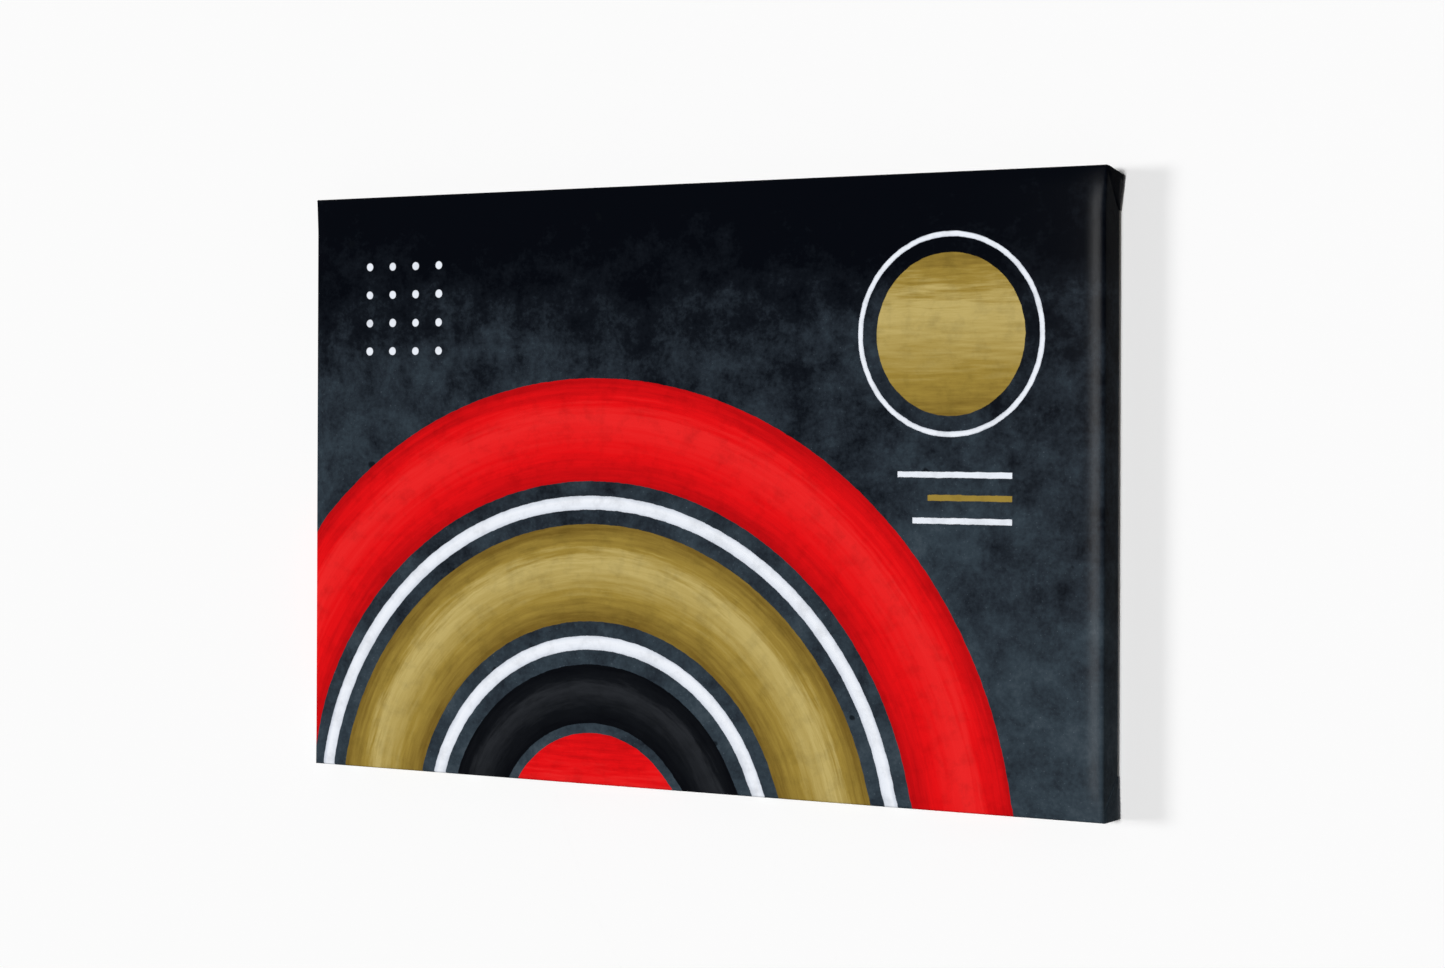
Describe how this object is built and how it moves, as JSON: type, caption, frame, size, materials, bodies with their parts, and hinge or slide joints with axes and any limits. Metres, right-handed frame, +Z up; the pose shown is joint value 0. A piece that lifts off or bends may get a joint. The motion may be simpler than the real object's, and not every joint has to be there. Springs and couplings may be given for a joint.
{
  "type": "stretched canvas print",
  "caption": "Stretched canvas print on a keyed pine stretcher frame with an upright brace, folded canvas corners, a toothed hanger plate and rubber wall bumpers.",
  "frame": {"origin": "middle notch of the hanger, projected onto the plane of the wall that the bumpers stand on", "axes": "+X to the right along the print as seen from the front, +Y from the print back into the wall, +Z up"},
  "size_m": [0.922, 0.0411, 0.6096],
  "materials": {
    "canvas": "printed, satin",
    "pine": "planed, bare",
    "key_wood": "sawn, bare",
    "steel": "zinc plated",
    "rubber": "matte"
  },
  "bodies": {
    "root": {"bar_bottom": "pine", "bar_left": "pine", "bar_right": "pine", "bar_top": "pine", "brace": "pine", "bumper_left": "rubber", "bumper_right": "rubber", "canvas": "canvas", "hanger": "steel", "key_bottom_left": "key_wood", "key_bottom_right": "key_wood", "key_left_bottom": "key_wood", "key_left_top": "key_wood", "key_right_bottom": "key_wood", "key_right_top": "key_wood", "key_top_left": "key_wood", "key_top_right": "key_wood", "screw_left": "steel", "screw_right": "steel"}
  },
  "joints": []
}
